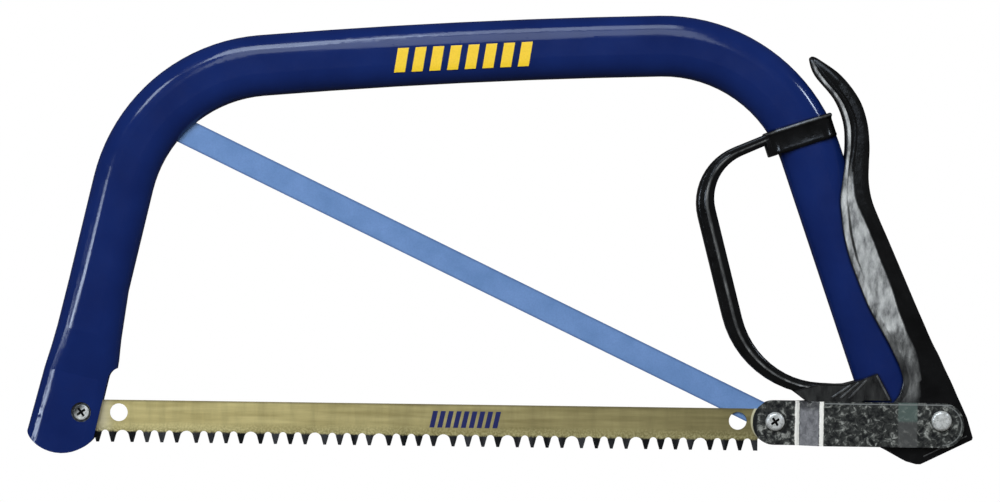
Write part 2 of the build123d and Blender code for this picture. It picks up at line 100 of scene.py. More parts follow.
class Finish:
    """A material under construction: its nodes and the ways they are joined."""

    def __init__(self, name):
        self.material = bpy.data.materials.new(name)
        self.material.use_nodes = True
        self.nodes = self.material.node_tree.nodes
        self.links = self.material.node_tree.links
        self.shader = self.nodes["Principled BSDF"]

    def feed(self, socket, source):
        """Drives one of the shader's inputs from a node."""
        self.links.new(source, self.shader.inputs[socket])

    def noise(self, scale, detail=3.0, roughness=0.5, stretch=(1, 1, 1), distortion=0.0):
        """A noise texture in object space, stretched along the axes."""
        where = self.nodes.new("ShaderNodeTexCoord")
        mapping = self.nodes.new("ShaderNodeMapping")
        mapping.inputs["Scale"].default_value = stretch
        texture = self.nodes.new("ShaderNodeTexNoise")
        for socket, value in (("Scale", scale), ("Detail", detail), ("Roughness", roughness),
                              ("Distortion", distortion)):
            texture.inputs[socket].default_value = value
        self.links.new(where.outputs["Object"], mapping.inputs["Vector"])
        self.links.new(mapping.outputs["Vector"], texture.inputs["Vector"])
        return texture.outputs["Fac"]

    def axis(self, name):
        """One object-space coordinate, in metres in the row's frame."""
        where = self.nodes.new("ShaderNodeTexCoord")
        split = self.nodes.new("ShaderNodeSeparateXYZ")
        self.links.new(where.outputs["Object"], split.inputs[0])
        return split.outputs[name]

    def attribute(self, name):
        """A number that is stored on the mesh's vertices."""
        node = self.nodes.new("ShaderNodeAttribute")
        node.attribute_name = name
        return node.outputs["Fac"]

    def spread(self, source, low, high, to_low=0.0, to_high=1.0):
        """A value mapped from one range to another and held at the ends."""
        node = self.nodes.new("ShaderNodeMapRange")
        for socket, value in zip(("From Min", "From Max", "To Min", "To Max"), (low, high, to_low, to_high)):
            node.inputs[socket].default_value = value
        self.links.new(source, node.inputs["Value"])
        return node.outputs["Result"]

    def combine(self, how, first, second):
        """Two values, each a socket or a number, joined by a math node."""
        node = self.nodes.new("ShaderNodeMath")
        node.operation = how
        for socket, value in zip(node.inputs, (first, second)):
            if isinstance(value, (int, float)):
                socket.default_value = value
            else:
                self.links.new(value, socket)
        return node.outputs[0]

    def less(self, first, second):
        """The first value less the second."""
        return self.combine("SUBTRACT", first, second)

    def plus(self, first, second):
        """The sum of two values."""
        return self.combine("ADD", first, second)

    def times(self, first, second):
        """The product of two values."""
        return self.combine("MULTIPLY", first, second)

    def length(self, first, second):
        """The length of a vector that has these two parts."""
        squares = self.plus(self.times(first, first), self.times(second, second))
        return self.combine("SQRT", squares, 0.0)

    def band(self, source, low, high, soft):
        """1 where a coordinate lies between low and high, with soft edges; all in metres."""
        rise = self.spread(source, low - soft, low + soft)
        fall = self.spread(source, high - soft, high + soft, 1.0, 0.0)
        return self.times(rise, fall)

    def ramp(self, source, *stops):
        """A colour that follows a value along two or more stops, each a value and its colour."""
        node = self.nodes.new("ShaderNodeValToRGB")
        elements = node.color_ramp.elements
        while len(elements) < len(stops):
            elements.new(0.5)
        for element, (position, colour) in zip(elements, stops):
            element.position = position
            element.color = (*colour, 1)
        self.links.new(source, node.inputs["Fac"])
        return node.outputs["Color"]

    def blend(self, factor, first, second):
        """Two colours mixed by a factor; each is a socket or an RGB triple."""
        node = self.nodes.new("ShaderNodeMix")
        node.data_type = "RGBA"
        self.links.new(factor, node.inputs["Factor"])
        for socket, colour in ((node.inputs["A"], first), (node.inputs["B"], second)):
            if isinstance(colour, tuple):
                socket.default_value = (*colour, 1)
            else:
                self.links.new(colour, socket)
        return node.outputs["Result"]

    def hollow(self, reach):
        """How shut-in a surface point is by its own part and its neighbours within reach; 0 in the open."""
        node = self.nodes.new("ShaderNodeAmbientOcclusion")
        node.samples = 8
        node.inputs["Distance"].default_value = reach
        return self.spread(node.outputs["AO"], 0.35, 0.85, 1.0, 0.0)

    def bump(self, height, strength, distance, under=None):
        """Bump on the shader, on top of another bump when one is given."""
        node = self.nodes.new("ShaderNodeBump")
        node.inputs["Strength"].default_value = strength
        node.inputs["Distance"].default_value = distance
        self.links.new(height, node.inputs["Height"])
        if under:
            self.links.new(under, node.inputs["Normal"])
        self.links.new(node.outputs["Normal"], self.shader.inputs["Normal"])
        return node.outputs["Normal"]


def navy_enamel():
    """Glossy stove enamel with faint clouds, painted shade where it is shut in, orange peel and a few fine
    scratches.
    """
    finish = Finish("navy_enamel")
    cloud = finish.noise(40, 4)
    tint = finish.ramp(cloud, (0.3, srgb(16, 33, 86)), (0.7, srgb(20, 40, 98)))
    # Painted shade: darker navy where the tube is shut in by its own bends and the parts beside it
    tint = finish.blend(finish.hollow(1.6 * MM), tint, srgb(6, 9, 22))
    finish.feed("Base Color", tint)
    wear = finish.noise(110, 6)
    finish.feed("Roughness", finish.spread(wear, 0.3, 0.75, 0.07, 0.17))
    peel = finish.noise(420, 2)
    under = finish.bump(peel, 0.04, 0.3 * MM)
    scratch = finish.noise(900, 2, stretch=(0.05, 1, 1.2))
    finish.bump(scratch, 0.015, 0.1 * MM, under)
    finish.shader.inputs["IOR"].default_value = 1.5
    return finish.material


def black_plastic():
    """Glossy black moulding, with a cloudy grey painted highlight where its vertex attribute asks for one."""
    finish = Finish("black_plastic")
    cloud = finish.noise(120, 5)
    tint = finish.ramp(cloud, (0.3, grey(0.003)), (0.7, grey(0.0065)))

    # Painted highlight: ragged grey patches where the vertex attribute is high, over a faint even painted grey
    # sheen
    painted_sheen = finish.attribute("painted_sheen")
    streak = finish.noise(210, 6, 0.62, stretch=(1.5, 1.0, 0.6))
    ragged = finish.times(finish.less(streak, 0.5), 1.2)
    amount = finish.plus(painted_sheen, ragged)
    sheen_patches = finish.times(finish.spread(amount, 0.44, 0.80, 0.0, 0.75), finish.spread(painted_sheen, 0.42, 0.65))
    sheen_share = finish.plus(sheen_patches, finish.spread(painted_sheen, 0.04, 0.5, 0.0, 0.25))
    sheen_colour = finish.ramp(streak, (0.32, srgb(88, 88, 88)), (0.68, srgb(205, 205, 200)))
    finish.feed("Base Color", finish.blend(sheen_share, tint, sheen_colour))

    # The plastic is duller where the highlight is painted, and the whole moulding is a little uneven
    wear = finish.noise(260, 6, 0.6)
    rough = finish.spread(wear, 0.3, 0.75, 0.12, 0.26)
    finish.feed("Roughness", finish.plus(rough, finish.times(sheen_share, 0.25)))
    ripple = finish.noise(330, 3, 0.6)
    under = finish.bump(ripple, 0.22, 0.4 * MM)
    grain = finish.noise(2200, 2)
    finish.bump(grain, 0.08, 0.1 * MM, under)
    return finish.material


def straw_steel():
    """Straw-lacquered spring steel: rolled grain, tarnish towards the handle, hardened dark teeth."""
    finish = Finish("straw_steel")
    along = finish.axis("X")
    height = finish.axis("Z")

    # Rolled grain that darkens towards the handle, with upright stains
    grain = finish.noise(260, 5, 0.6, stretch=(0.12, 1, 1.6))
    warm = finish.ramp(grain, (0.3, srgb(184, 168, 108)), (0.7, srgb(216, 200, 136)))
    dull = finish.ramp(grain, (0.3, srgb(108, 99, 62)), (0.7, srgb(142, 131, 86)))
    tarnish = finish.spread(along, station(60), station(REAR_SCREW_X))
    face = finish.blend(tarnish, warm, dull)
    stain = finish.noise(170, 4, 0.6, stretch=(1, 1, 0.18))
    face = finish.blend(finish.spread(stain, 0.42, 0.75, 0.0, 0.30), face, srgb(92, 84, 48))

    # A painted light strip on the blade next to the pressed foot, heat specks above the teeth and a dark line
    # along the top
    painted_lit_strip = finish.spread(along, station(9.5), station(14.5), 0.55, 0.0)
    face = finish.blend(painted_lit_strip, face, srgb(222, 214, 184))
    spots = finish.noise(1100, 3, 0.6)
    speckle = finish.ramp(spots, (0.42, srgb(120, 112, 62)), (0.62, srgb(214, 205, 150)))
    heat = finish.spread(height, level(-3.5), level(-7.5), 0.0, 0.45)
    face = finish.blend(heat, face, speckle)
    top_line = finish.spread(height, level(4.3), level(5.2), 0.0, 0.55)
    face = finish.blend(top_line, face, srgb(80, 74, 50))

    # A ring that the link plates have rubbed bright round the rear screw
    from_screw = finish.less(along, station(REAR_SCREW_X))
    above_screw = finish.less(height, level(0))
    rubbed = finish.band(finish.length(from_screw, above_screw), 9.2 * MM, 10.4 * MM, 0.2 * MM)
    face = finish.blend(finish.times(rubbed, 0.8), face, srgb(228, 222, 184))

    # Hardened, dark teeth below a ragged line
    ragged = finish.times(finish.less(spots, 0.5), 1.2 * MM)
    tooth = finish.spread(finish.plus(height, ragged), level(-7.7), level(-8.5))
    shade = finish.noise(130, 1, stretch=(1, 1, 0.1))
    dark = finish.ramp(shade, (0.46, srgb(9, 9, 10)), (0.60, srgb(52, 52, 54)))
    face = finish.blend(tooth, face, dark)
    finish.feed("Base Color", face)
    finish.feed("Roughness", finish.spread(grain, 0.3, 0.7, 0.34, 0.5))
    finish.shader.inputs["Metallic"].default_value = 0.25
    finish.bump(grain, 0.15, 0.1 * MM)
    return finish.material


def blue_steel():
    """Light blue lacquer on thin steel, darker along its edges."""
    finish = Finish("blue_steel")
    grain = finish.noise(90, 5, 0.55)
    tint = finish.ramp(grain, (0.3, srgb(100, 136, 184)), (0.7, srgb(116, 150, 200)))
    fine = finish.noise(1400, 2)
    tint = finish.blend(finish.spread(fine, 0.35, 0.8, 0.0, 0.3), tint, srgb(80, 112, 160))

    # The distance from the blade's middle line, which climbs from the rear screw to the frame's corner
    run = finish.less(finish.axis("X"), station(REAR_SCREW_X))
    rise = finish.less(finish.axis("Z"), level(0))
    across = finish.plus(rise, finish.times(run, math.tan(HACKSAW_SLOPE)))
    offset = finish.combine("ABSOLUTE", finish.times(across, math.cos(HACKSAW_SLOPE)), 0.0)
    # Darker colour along both edges of the blade
    edge_darkening = finish.spread(offset, 4.5 * MM, 5.3 * MM, 0.0, 0.7)
    tint = finish.blend(edge_darkening, tint, srgb(64, 90, 136))
    finish.feed("Base Color", tint)
    finish.feed("Roughness", finish.spread(grain, 0.3, 0.7, 0.34, 0.46))
    finish.shader.inputs["Metallic"].default_value = 0.1
    finish.bump(fine, 0.1, 0.1 * MM)
    return finish.material


# Stretches of the link plates, in millimetres along the blade: smooth between the bends, with a painted highlight
# on them
FRONT_JOGGLE = (310.6, 318.4)
REAR_JOGGLE = (352.5, 360.8)
FRONT_BENDS = ((308.6, 310.4), (318.6, 320.4))
ROUND_END = (371.4, -0.5)


def stretch(ends):
    """The row-frame X of both ends of a stretch along the blade."""
    return station(ends[0]), station(ends[1])


def dark_plate():
    """Crinkled dark plating, smooth on the two joggled stretches, with a painted highlight where it is bent."""
    finish = Finish("dark_plate")
    crinkle = finish.noise(400, 4, 0.66, distortion=0.7)
    tint = finish.ramp(crinkle, (0.38, srgb(14, 14, 14)), (0.54, srgb(62, 63, 59)),
                       (0.70, srgb(176, 177, 168)))
    along = finish.axis("X")
    height = finish.axis("Z")

    # Satin grey on the front joggle, less of it at its top, and greenish grey on the rear one
    smooth_front = finish.band(along, *stretch(FRONT_JOGGLE), 0.3 * MM)
    smooth_front = finish.times(smooth_front, finish.spread(height, level(4.5), level(6.5), 1.0, 0.35))
    satin = finish.ramp(crinkle, (0.36, srgb(112, 111, 114)), (0.66, srgb(158, 157, 158)))
    tint = finish.blend(smooth_front, tint, satin)
    smooth_back = finish.band(along, *stretch(REAR_JOGGLE), 0.3 * MM)
    upper = finish.spread(height, level(0.5), level(1.5))
    green = finish.blend(upper, srgb(90, 90, 87), srgb(100, 116, 108))
    tint = finish.blend(finish.times(smooth_back, 0.7), tint, green)

    # Painted highlight with ragged borders on the two bends of the front joggle
    ragged = finish.times(finish.less(crinkle, 0.5), 1.0 * MM)
    bent = finish.plus(along, ragged)
    bend_highlight = finish.plus(*(finish.band(bent, *stretch(bend), 0.15 * MM) for bend in FRONT_BENDS))
    tint = finish.blend(bend_highlight, tint, srgb(255, 250, 238))

    # A pale line along the top edge, carried on round the rear end
    edge_line = finish.band(height, level(8.1), level(8.5), 0.15 * MM)
    past_bends = finish.spread(along, station(320.5), station(321), 0.0, 0.8)
    tint = finish.blend(finish.times(edge_line, past_bends), tint, srgb(150, 152, 148))
    round_x = finish.less(along, station(ROUND_END[0]))
    round_z = finish.less(height, level(ROUND_END[1]))
    arc = finish.band(finish.length(round_x, round_z), 8.4 * MM, 8.8 * MM, 0.15 * MM)
    arc = finish.times(arc, finish.spread(round_x, 0.0, 0.5 * MM, 0.0, 0.7))
    tint = finish.blend(arc, tint, srgb(140, 142, 138))

    # Painted shade where the plate is shut in, and a dark rim at its front end
    tint = finish.blend(finish.hollow(1.4 * MM), tint, srgb(8, 8, 8))
    rim = finish.spread(along, station(291.8), station(293.4), 0.85, 0.0)
    tint = finish.blend(rim, tint, srgb(18, 18, 19))
    finish.feed("Base Color", tint)
    finish.feed("Roughness", finish.spread(crinkle, 0.3, 0.7, 0.5, 0.34))
    finish.shader.inputs["Metallic"].default_value = 0.2
    finish.bump(crinkle, 0.35, 0.5 * MM)
    return finish.material


def bright_steel():
    """Worn nickel on the screw and rivet heads, with painted shade in the hollows and on the front screw."""
    finish = Finish("bright_steel")
    wear = finish.noise(420, 4, 0.6)
    plating = finish.ramp(wear, (0.3, srgb(196, 197, 190)), (0.7, srgb(255, 255, 250)))
    # Painted shade where the heads are shut in by their holes and neighbours
    plating = finish.blend(finish.hollow(1.1 * MM), plating, srgb(16, 15, 14))

    # Painted shade in the cross recesses: near a screw's middle and below its face
    along = finish.axis("X")
    rear = finish.spread(along, station(149), station(151))      # 0 at the front screw, 1 at the rear one
    front_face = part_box("front_blade_screw")[0].y
    rear_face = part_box("rear_blade_screw")[0].y
    face = finish.spread(rear, 0.0, 1.0, front_face, rear_face)
    sunk = finish.less(finish.axis("Y"), face)
    centre = finish.spread(rear, 0.0, 1.0, station(0), station(REAR_SCREW_X))
    across = finish.less(along, centre)
    rise = finish.less(finish.axis("Z"), level(0))
    near = finish.spread(finish.length(across, rise), 2.4 * MM, 2.5 * MM, 1.0, 0.0)
    recess_shade = finish.times(near, finish.spread(sunk, 0.2 * MM, 0.4 * MM))
    plating = finish.blend(recess_shade, plating, srgb(18, 17, 16))

    # The front screw's head is shaded on its upper left
    shaded = finish.spread(finish.less(across, rise), -3 * MM, 0.4 * MM, 0.9, 0.0)
    shaded = finish.times(shaded, finish.spread(rear, 0.0, 1.0, 1.0, 0.0))
    finish.feed("Base Color", finish.blend(shaded, plating, srgb(22, 23, 30)))
    finish.feed("Roughness", finish.spread(wear, 0.3, 0.7, 0.2, 0.38))
    finish.shader.inputs["Metallic"].default_value = 0.45
    finish.bump(wear, 0.25, 0.2 * MM)
    return finish.material


def plain_steel():
    """Turned steel of the hidden spacers and sleeves."""
    finish = Finish("plain_steel")
    wear = finish.noise(1200, 3)
    finish.feed("Base Color", finish.ramp(wear, (0.3, grey(0.22)), (0.7, grey(0.38))))
    finish.feed("Roughness", finish.spread(wear, 0.3, 0.7, 0.3, 0.45))
    finish.shader.inputs["Metallic"].default_value = 1.0
    return finish.material


def mark_paint(name, colour):
    """Screen-printed paint, a little worn."""
    finish = Finish(name)
    wear = finish.noise(1500, 4, 0.6)
    thin = tuple(c * 0.72 for c in colour)
    finish.feed("Base Color", finish.blend(finish.spread(wear, 0.45, 0.7, 0.0, 0.35), colour, thin))
    finish.feed("Roughness", finish.spread(wear, 0.3, 0.7, 0.3, 0.42))
    return finish.material


FINISHES = {maker.__name__: maker() for maker in
            (navy_enamel, black_plastic, straw_steel, blue_steel, dark_plate, bright_steel, plain_steel)}


def finish_cad_nodes():
    """Gives every CAD node the finish of its slot in the record."""
    for subpart in frame["record"]["subparts"]:
        node = frame["nodes"][subpart["node"]]
        node.data.materials.clear()
        node.data.materials.append(FINISHES[subpart["material_slot"]])


# ---------------------------------------------------------------- mesh helpers

def make_object(name, bm, material, sharp=40):
    """An object from a bmesh, shaded smooth up to an angle, with one material."""
    bmesh.ops.recalc_face_normals(bm, faces=bm.faces)
    mesh = bpy.data.meshes.new(name)
    bm.to_mesh(mesh)
    bm.free()
    mesh.shade_smooth()
    mesh.set_sharp_from_angle(angle=math.radians(sharp))
    mesh.materials.append(material)
    piece = bpy.data.objects.new(name, mesh)
    bpy.context.scene.collection.objects.link(piece)
    return piece


def skin(bm, rings, painted_sheens=None):
    """Quads between closed rings of points, with a cap on each end, and the strength of the painted highlight at
    each point.
    """
    layer = bm.verts.layers.float.get("painted_sheen") or bm.verts.layers.float.new("painted_sheen")
    rows = []
    for i, ring in enumerate(rings):
        row = [bm.verts.new(point) for point in ring]
        for k, vert in enumerate(row):
            vert[layer] = painted_sheens[i][k] if painted_sheens else 0.0
        rows.append(row)
    for row, following in zip(rows, rows[1:]):
        for k in range(len(row)):
            bm.faces.new((row[k], row[k - 1], following[k - 1], following[k]))
    bm.faces.new(rows[0])
    bm.faces.new(list(reversed(rows[-1])))


def smooth_rows(table, steps):
    """Rows of numbers with more rows between them on a curve through every column."""
    rows = []
    for i in range(len(table) - 1):
        before = table[max(i - 1, 0)]
        after = table[min(i + 2, len(table) - 1)]
        for k in range(steps):
            t = k / steps
            row = []
            for a, b, c, d in zip(before, table[i], table[i + 1], after):
                row.append(0.5 * (2 * b + (c - a) * t + (2 * a - 5 * b + 4 * c - d) * t * t
                                  + (3 * b - a - 3 * c + d) * t ** 3))
            rows.append(row)
    rows.append(list(table[-1]))
    return rows


def add_strip(bm, start, end, half_width, inner, outer, painted_sheen):
    """A thin raised line on both faces of a moulding, from start to end, with a painted highlight of the given
    strength along its top.
    """
    start, end = Vector(start), Vector(end)
    across = (end - start).normalized()
    across = Vector((-across.y, across.x))
    for side in (-1, 1):
        rings = []
        painted_sheens = []
        for y, spare, amount in ((inner, 1.3, 0.0), (outer - 0.1, 1.1, painted_sheen), (outer, 0.6, painted_sheen)):
            reach = across * half_width * spare
            corners = (start - reach, end - reach, end + reach, start + reach)
            rings.append([at(p.x, p.y, side * y) for p in corners])
            painted_sheens.append([amount] * 4)
        skin(bm, rings, painted_sheens)


# ---------------------------------------------------------------- lever

# Height, front edge, foot of the ridge, back edge, half thickness at lip, flute and ridge, groove depth,
# and the strength of the painted highlight on the bead and on the flute
LEVER_UPPER = (                      # smoothed between the rows
    (158.1, 313.6, 314.0, 314.5, 2.4, 2.4, 2.4, 0.0, 0.0, 0.0),
    (156.6, 313.0, 314.9, 317.2, 5.0, 4.9, 4.9, 0.0, 0.2, 0.0),
    (150.0, 315.6, 320.3, 326.4, 6.2, 5.9, 6.2, 0.3, 0.9, 0.0),
    (140.0, 324.0, 328.6, 334.2, 6.9, 6.5, 7.1, 0.4, 0.75, 0.0),
    (130.0, 328.2, 332.9, 337.8, 7.5, 7.2, 8.0, 0.4, 0.9, 0.0),
    (120.0, 329.0, 333.0, 338.9, 8.1, 8.0, 8.9, 0.4, 0.75, 0.0),
    (112.0, 328.3, 332.0, 338.7, 8.7, 8.8, 9.6, 0.3, 0.7, 0.1),
    (104.0, 327.3, 332.0, 338.7, 9.2, 9.5, 10.3, 0.2, 0.9, 0.8),
    (96.0, 326.5, 333.2, 340.2, 9.4, 10.1, 10.9, 0.3, 0.9, 0.8),
    (88.0, 327.2, 336.6, 343.4, 9.5, 10.6, 11.25, 0.7, 0.9, 0.95),
    (80.0, 328.4, 340.2, 347.0, 9.5, 10.9, 11.4, 0.8, 0.9, 1.0),
    (70.0, 331.1, 344.1, 351.4, 9.5, 10.9, 11.4, 0.6, 0.85, 1.0),
    (60.0, 335.0, 348.4, 355.8, 9.5, 10.9, 11.4, 0.15, 0.85, 1.0),
    (50.0, 339.3, 351.6, 360.2, 9.6, 10.9, 11.4, 0.1, 0.85, 0.95),
    (43.0, 343.2, 354.4, 363.4, 9.7, 10.8, 11.2, 0.1, 0.6, 0.8),
    (39.0, 345.5, 356.0, 365.2, 9.8, 10.6, 10.8, 0.0, 0.5, 0.6),
    (34.0, 348.4, 358.6, 367.6, 9.8, 10.3, 10.4, 0.0, 0.45, 0.5),
    (30.0, 350.4, 360.2, 369.8, 9.7, 10.0, 10.1, 0.0, 0.42, 0.5),
    (24.0, 353.2, 361.6, 372.6, 9.5, 9.8, 9.9, 0.0, 0.25, 0.47),
    (18.0, 354.6, 362.6, 375.6, 9.3, 9.6, 9.7, 0.0, 0.2, 0.45),
    (12.0, 353.0, 363.4, 378.3, 9.2, 9.5, 9.5, 0.0, 0.15, 0.44),
)
LEVER_LOWER = (                      # straight between the rows
    (9.1, 350.7, 363.0, 379.7, 9.2, 9.5, 9.5, 0.0, 0.1, 0.3),
    (3.0, 349.2, 363.0, 382.5, 9.2, 9.5, 9.5, 0.0, 0.0, 0.0),
    (-5.6, 347.2, 363.0, 385.1, 9.2, 9.5, 9.5, 0.0, 0.0, 0.0),
    (-6.6, 347.0, 363.0, 384.8, 9.2, 9.5, 9.5, 0.0, 0.0, 0.0),
    (-10.6, 346.0, 362.0, 376.6, 9.2, 9.5, 9.5, 0.0, 0.0, 0.0),
    (-16.2, 356.2, 359.5, 365.2, 9.2, 9.4, 9.5, 0.0, 0.0, 0.0),
    (-17.4, 360.6, 361.6, 362.6, 9.2, 9.3, 9.3, 0.0, 0.0, 0.0),
)
CHANNEL_HALF = 7.9         # half width of the channel that straddles the tube
HORN_GROOVE_HALF = 3.4     # what it narrows to under the horn
HORN_FOOT = 106.0          # where it starts to narrow, and over what height
HORN_FADE = 16.0
CHANNEL_BACK = (368.5, 3.0)      # a point of the channel's floor, which runs behind the tube
CHANNEL_LEAN = 0.3475      # how far that floor leans forwards for each millimetre up
TUBE_END_TOP = 14.3        # the heights between which the floor is upright, to clear the tube's end
TUBE_END_FOOT = -3.4
TUBE_END_CLEAR = 366.5
TAIL_WALL = 1.2            # what is left of the lever's back below the tube


def channel_floor(z, front, back):
    """Where the channel that takes the tube ends, and its half width, at a height."""
    if z > TUBE_END_TOP:
        floor = CHANNEL_BACK[0] - CHANNEL_LEAN * (z - CHANNEL_BACK[1])
    elif z > TUBE_END_FOOT:
        floor = TUBE_END_CLEAR
    else:
        floor = back - TAIL_WALL
    closing = min(max((z - HORN_FOOT) / HORN_FADE, 0.0), 1.0)
    half = CHANNEL_HALF - closing * (CHANNEL_HALF - HORN_GROOVE_HALF)
    return max(floor, front + 0.7), half


def lever_ring(row):
    """One level section of the lever: channel, lip, bead, flute, ridge and back, mirrored."""
    z, front, foot, back, lip, flute, ridge, groove, bead_sheen, flute_sheen = row
    floor, half = channel_floor(z, front, back)
    width = back - front
    edge = min(0.8, 0.12 * width)
    face = foot - front
    reach = min(1.0, face / 8.0)
    floor = min(floor, back - 0.5 * edge)
    half = min(half, lip - edge - 0.15)
    step = min(0.45, 0.06 * width)

    def rise(x):
        """Half thickness of the cheek on its slope from the lip to the foot of the ridge."""
        return lip + (flute - lip) * (x - front) / max(face, 0.1)

    bead_end = front + edge + 1.9 * reach
    trough = bead_end + 0.5 * reach
    flute_start = trough + 0.9 * reach
    middle = 0.5 * (flute_start + foot)
    groove_sheen = flute_sheen * (1 - groove)
    foot_sheen = flute_sheen if flute_sheen > 0.45 else 0.0
    side = [
        # x, half thickness, strength of the painted highlight: the channel
        (floor, 0.55 * half, 0.0),
        (floor, half, 0.0),
        (front + 0.3 * edge, half, 0.0),
        # the lip and the bead
        (front, half + 0.3 * edge, 0.0),
        (front, lip - edge, 0.0),
        (front + 0.2 * edge, lip - 0.35 * edge, 0.1),
        (front + edge, rise(front + edge), bead_sheen),
        (bead_end, rise(bead_end), bead_sheen),
        # the groove and the flute
        (trough, rise(trough) - groove, groove_sheen),
        (trough + 0.4 * reach, rise(trough) - groove, groove_sheen),
        (flute_start, rise(flute_start), flute_sheen),
        (middle, rise(middle) - 0.15 * reach, flute_sheen),
        # the ridge and the back
        (foot - step, flute, foot_sheen),
        (foot + step, ridge, 0.0),
        (foot + 0.5 * (back - foot), ridge, 0.0),
        (back - edge, ridge - 0.05, 0.0),
        (back - 0.3 * edge, ridge - 0.3 * edge, 0.0),
        (back, ridge - edge, 0.0),
        (back, 0.4 * ridge, 0.0),
    ]
    near = [at(x, z, -y) for x, y, _ in side]
    far = [at(x, z, y) for x, y, _ in reversed(side)]
    painted_sheens = [painted_sheen for _, _, painted_sheen in side]
    return near + far, painted_sheens + painted_sheens[::-1]


def make_lever():
    """The tension lever, built up from level sections, with a raised line along its tail."""
    sections = [lever_ring(row) for row in smooth_rows(LEVER_UPPER, 5)]
    sections += [lever_ring(row) for row in LEVER_LOWER]
    bm = bmesh.new()
    skin(bm, [ring for ring, _ in sections], [painted_sheens for _, painted_sheens in sections])
    # The raised line along the tail carries a faint painted highlight
    add_strip(bm, (382.4, -4.9), (363.8, -14.0), 0.25, 9.2, 9.7, 0.3)
    lever = make_object("lever_moulding", bm, FINISHES["black_plastic"], 34)
    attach(lever, "lever")
    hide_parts("lever")


# ---------------------------------------------------------------- knuckle guard

# Corners in the saw's plane, each with the radius of its arc
BOW_OUTSIDE = (((300.0, 126.6), 0), ((259.9, 109.7), 26), ((285.1, 12.7), 44), ((330.0, 11.5), 0))
BOW_INSIDE = (((300.0, 121.8), 0), ((268.7, 107.9), 20), ((292.0, 18.0), 37), ((330.0, 16.5), 0))
BOW_STEPS = 12             # points on each straight run and on each arc

# Share of the way from the bow's outside to its inside, and half width there: a rib runs along the middle
BOW_SIDE = ((0.0, 0.0), (0.0, 5.0), (0.03, 5.9), (0.12, 6.5), (0.26, 6.62), (0.40, 6.55), (0.46, 6.75),
            (0.52, 7.0), (0.58, 6.95), (0.68, 6.45), (0.80, 6.3), (0.90, 6.1), (0.97, 5.6), (1.0, 4.9),
            (1.0, 0.0))

COLLAR_AT = (309.3, 124.2)       # its middle, on the tube
COLLAR_LEAN = math.radians(-18.5)
COLLAR_LENGTH = 31.4
COLLAR_DEPTH = 19.4
COLLAR_CORNER = 6.5
# Height on the collar and growth of its outline: a rolled rim at the top, drawn in at both edges
COLLAR_PROFILE = ((5.0, -3.2), (5.2, -1.2), (5.25, -0.7), (5.0, -0.25), (4.4, 0.0), (3.7, -0.2), (3.3, -0.55),
                  (2.6, -0.7), (-3.6, -0.7), (-4.2, -0.55), (-4.8, -0.7), (-5.15, -1.1), (-5.2, -3.2))
# Along the collar, foot, top and half width of the upstand
UPSTAND = ((-16.0, -5.0, 3.6, 5.4), (-15.4, -5.3, 4.4, 6.4), (-13.0, -5.3, 4.9, 7.2), (-11.5, -5.2, 4.9, 7.2))

SADDLE = ((307.5, 13.4), (318.0, 16.2), (329.6, 16.7), (336.6, 18.6), (343.6, 21.5), (346.9, 15.6),
          (350.0, 9.8), (338.4, 9.7), (336.0, 8.4), (314.0, 8.6), (310.0, 11.6))
# Depth of each layer of the saddle and how far its outline is drawn in
SADDLE_LAYERS = ((-9.0, 0.8), (-9.35, 0.35), (-9.0, 0.0), (9.0, 0.0), (9.35, 0.35), (9.0, 0.8))


def rounded_path(corners, steps):
    """Points along straight runs whose corners are arcs, the same number for every path."""
    points = []
    start = Vector(corners[0][0])
    for i in range(1, len(corners)):
        corner = Vector(corners[i][0])
        radius = corners[i][1]
        if radius:
            into = (corner - start).normalized()
            out = (Vector(corners[i + 1][0]) - corner).normalized()
            turn = into.angle(out)
            cut = radius * math.tan(turn / 2)
            entry = corner - into * cut
            centre = entry + Vector((-into.y, into.x)) * radius
        else:
            entry = corner
        points += [start.lerp(entry, k / steps) for k in range(steps)]
        if radius:
            spoke = entry - centre
            for k in range(steps):
                angle = turn * k / steps
                points.append(centre + Vector((spoke.x * math.cos(angle) - spoke.y * math.sin(angle),
                                               spoke.x * math.sin(angle) + spoke.y * math.cos(angle))))
            start = corner + out * cut
    points.append(Vector(corners[-1][0]))
    return points


def oval_half(offset, depth=15.0, width=26.4, crown=9.5, flat=0.4):
    """Half the tube's depth at an offset from its centre line."""
    into = abs(offset) - (width / 2 - crown)
    if into <= 0:
        return depth / 2
    return flat + (depth / 2 - flat) * math.sqrt(max(0.0, 1 - (into / crown) ** 2))


def rounded_box(width, depth, corner, count):
    """Points round a rounded rectangle that is centred on zero, with count steps in each corner's arc."""
    points = []
    for sign_x, sign_y, first in ((1, 1, 0), (-1, 1, 90), (-1, -1, 180), (1, -1, 270)):
        for k in range(count + 1):
            angle = math.radians(first + 90 * k / count)
            points.append(((width / 2 - corner) * sign_x + corner * math.cos(angle),
                           (depth / 2 - corner) * sign_y + corner * math.sin(angle)))
    return points


def collar_point(along, up, y):
    """A point of the collar: along its long side, up its height, and across the saw."""
    x = COLLAR_AT[0] + along * math.cos(COLLAR_LEAN) + up * math.sin(COLLAR_LEAN)
    z = COLLAR_AT[1] - along * math.sin(COLLAR_LEAN) + up * math.cos(COLLAR_LEAN)
    return at(x, z, y)


